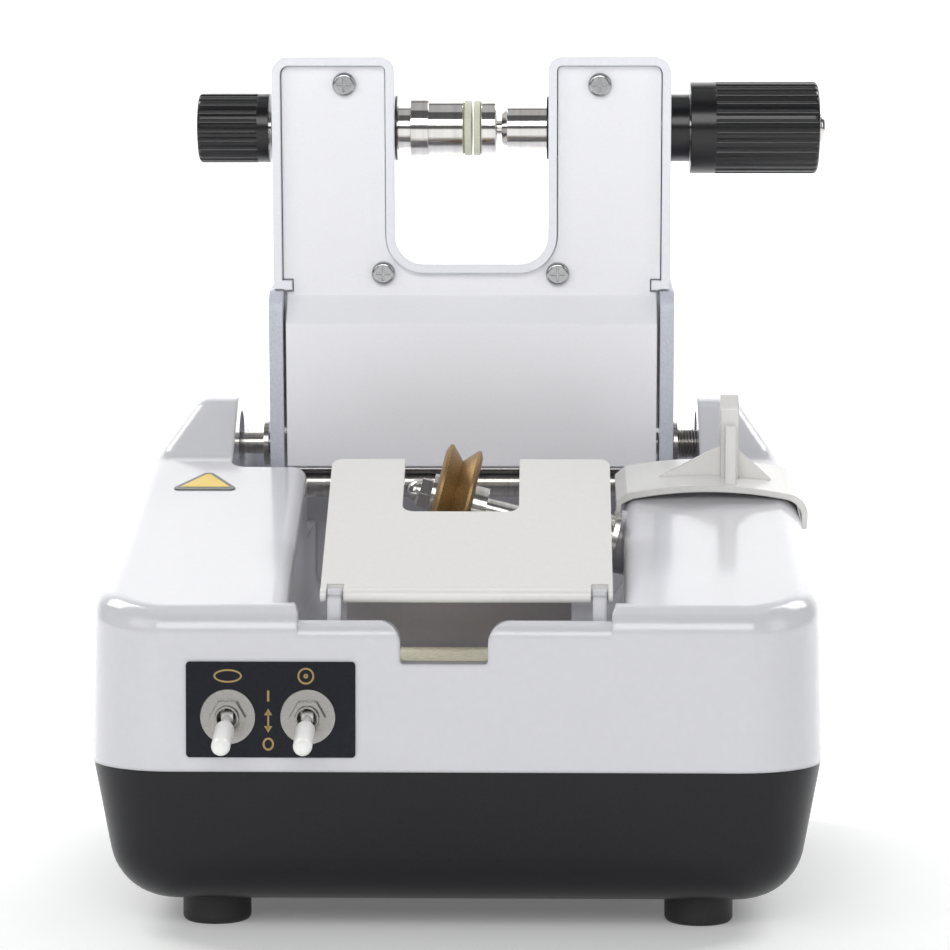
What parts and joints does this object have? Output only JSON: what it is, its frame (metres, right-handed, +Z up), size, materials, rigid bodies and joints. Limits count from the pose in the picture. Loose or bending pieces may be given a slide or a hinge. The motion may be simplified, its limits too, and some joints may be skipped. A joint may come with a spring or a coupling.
{
  "type": "lens edge chamfering machine",
  "caption": "Bench-top machine that holds an eyeglass lens between two spindles on a tilting head and chamfers its edge on a small grooved wheel.",
  "frame": {"origin": "middle of the four feet, on the bench", "axes": "+X to the operator's right, +Y away from the operator, +Z up"},
  "size_m": [0.1994, 0.2239, 0.2331],
  "materials": {
    "white_shell": "gloss moulded plastic",
    "black_pan": "satin moulded plastic",
    "foot_rubber": "matt",
    "zinc_screw": "bright plated",
    "label_film": "printed film",
    "sticker_film": "printed film",
    "white_lever": "gloss",
    "switch_metal": "nickel plated",
    "rod_steel": "ground",
    "spring_steel": "drawn wire",
    "machined_steel": "turned",
    "bearing_steel": "ground",
    "white_powder": "fine texture powder coat",
    "grey_powder": "fine texture powder coat",
    "motor_can": "plain",
    "belt_rubber": "matt",
    "board_laminate": "solder mask",
    "core_steel": "varnished",
    "black_plastic": "moulded",
    "sponge_foam": "open foam",
    "grey_plastic": "moulded",
    "bronze_bond": "fine abrasive in a metal bond",
    "cream_plastic": "gloss moulded plastic",
    "nickel": "plated",
    "pad_rubber": "soft",
    "knob_black": "moulded",
    "black_bush": "moulded"
  },
  "bodies": {
    "base": {"top_shell": "white_shell", "base_pan": "black_pan", "feet": "foot_rubber", "foot_screws": "zinc_screw", "power_inlet": "black_plastic", "switch_label": "label_film", "warning_sticker": "sticker_film", "switch_bodies": "switch_metal", "switch_nuts": "switch_metal", "transformer": "core_steel", "supply_board": "board_laminate", "sponge": "sponge_foam", "water_tray": "grey_plastic", "spindle_housing": "machined_steel", "spindle_bearings": "bearing_steel", "wheel_motor": "motor_can", "motor_bracket": "grey_powder", "drive_belt": "belt_rubber", "guard_hinge": "white_shell", "pivot_rod": "rod_steel", "float_spring": "spring_steel"},
    "carrier": {"pivot_washer_left": "rod_steel", "pivot_washer_right": "rod_steel"},
    "head": {"head_frame": "white_powder", "front_cover": "white_powder", "cover_screws": "zinc_screw", "side_plate_left": "grey_powder", "side_plate_right": "grey_powder", "plate_screws": "zinc_screw", "tie_bar": "rod_steel", "lens_motor": "motor_can", "lens_motor_bracket": "grey_powder", "lens_belt": "belt_rubber", "shaft_bushes": "black_bush", "clamp_nut": "black_bush"},
    "lens_shaft": {"lens_shaft": "machined_steel", "chuck_collar": "machined_steel", "lens_chuck": "machined_steel", "lens_pad_left": "pad_rubber", "lens_knob": "knob_black", "lens_pulley": "machined_steel"},
    "lens_rotor": {"lens_motor_pulley": "machined_steel"},
    "clamp_knob": {"clamp_knob": "knob_black", "clamp_knob_cap": "knob_black", "clamp_screw": "machined_steel"},
    "clamp_shaft": {"clamp_shaft": "machined_steel"},
    "pressure_disc": {"pressure_disc": "machined_steel", "lens_pad_right": "pad_rubber"},
    "wheel": {"v_wheel": "bronze_bond", "wheel_nut": "nickel", "wheel_spindle": "machined_steel", "spindle_pulley": "black_plastic"},
    "wheel_rotor": {"wheel_motor_pulley": "machined_steel"},
    "lens_lever": {"lens_switch_lever": "white_lever"},
    "wheel_lever": {"wheel_switch_lever": "white_lever"},
    "guard": {"guard": "cream_plastic"},
    "saddle": {"saddle": "cream_plastic"}
  },
  "joints": [
    {"name": "head_float", "type": "slide", "parent": "base", "child": "carrier", "axis": [1, 0, 0], "range_m": [-0.004, 0.004], "stiffness_N_per_m": 600, "deforming": ["float_spring"]},
    {"name": "head_swing", "type": "hinge", "parent": "carrier", "child": "head", "pos_m": [0, 0.057, 0.1172], "axis": [1, 0, 0], "range_deg": [-10, 62]},
    {"name": "lens_spin", "type": "hinge", "parent": "head", "child": "lens_shaft", "pos_m": [0, 0.04872, 0.21035], "axis": [1, 0, 0], "continuous": true},
    {"name": "lens_motor_spin", "type": "hinge", "parent": "head", "child": "lens_rotor", "pos_m": [0, 0.05557, 0.1452], "axis": [1, 0, 0], "continuous": true},
    {"name": "clamp_turn", "type": "hinge", "parent": "head", "child": "clamp_knob", "pos_m": [0, 0.04872, 0.21035], "axis": [1, 0, 0], "range_deg": [0, 2160]},
    {"name": "clamp_slide", "type": "slide", "parent": "head", "child": "clamp_shaft", "axis": [1, 0, 0], "range_m": [0, 0.01199]},
    {"name": "pad_spin", "type": "hinge", "parent": "clamp_shaft", "child": "pressure_disc", "pos_m": [0, 0.04872, 0.21035], "axis": [1, 0, 0], "continuous": true},
    {"name": "wheel_spin", "type": "hinge", "parent": "base", "child": "wheel", "pos_m": [-0.0025, -0.015, 0.1063], "axis": [0.9703, 0, -0.2419], "continuous": true},
    {"name": "wheel_motor_spin", "type": "hinge", "parent": "base", "child": "wheel_rotor", "pos_m": [-0.00976, -0.015, 0.07719], "axis": [0.9703, 0, -0.2419], "continuous": true},
    {"name": "lens_switch", "type": "hinge", "parent": "base", "child": "lens_lever", "pos_m": [-0.0577, -0.10062, 0.05823], "axis": [-1, 0, 0], "range_deg": [0, 30]},
    {"name": "wheel_switch", "type": "hinge", "parent": "base", "child": "wheel_lever", "pos_m": [-0.0373, -0.10062, 0.05823], "axis": [-1, 0, 0], "range_deg": [0, 30]},
    {"name": "guard_hinge", "type": "hinge", "parent": "base", "child": "guard", "pos_m": [0.0028, -0.0884, 0.088], "axis": [-1, 0, 0], "range_deg": [-60, 0]},
    {"name": "saddle_hinge", "type": "hinge", "parent": "base", "child": "saddle", "pos_m": [0.09515, -0.00926, 0.09854], "axis": [0, -0.9728, -0.2317], "range_deg": [-35, 0]}
  ],
  "couplings": [
    {"joint": "lens_motor_spin", "follows": "lens_spin", "ratio": 1.5},
    {"joint": "pad_spin", "follows": "lens_spin", "ratio": 1},
    {"joint": "clamp_turn", "follows": "clamp_slide", "rad_per_m": 3141.6},
    {"joint": "wheel_motor_spin", "follows": "wheel_spin", "ratio": 1.3333}
  ]
}
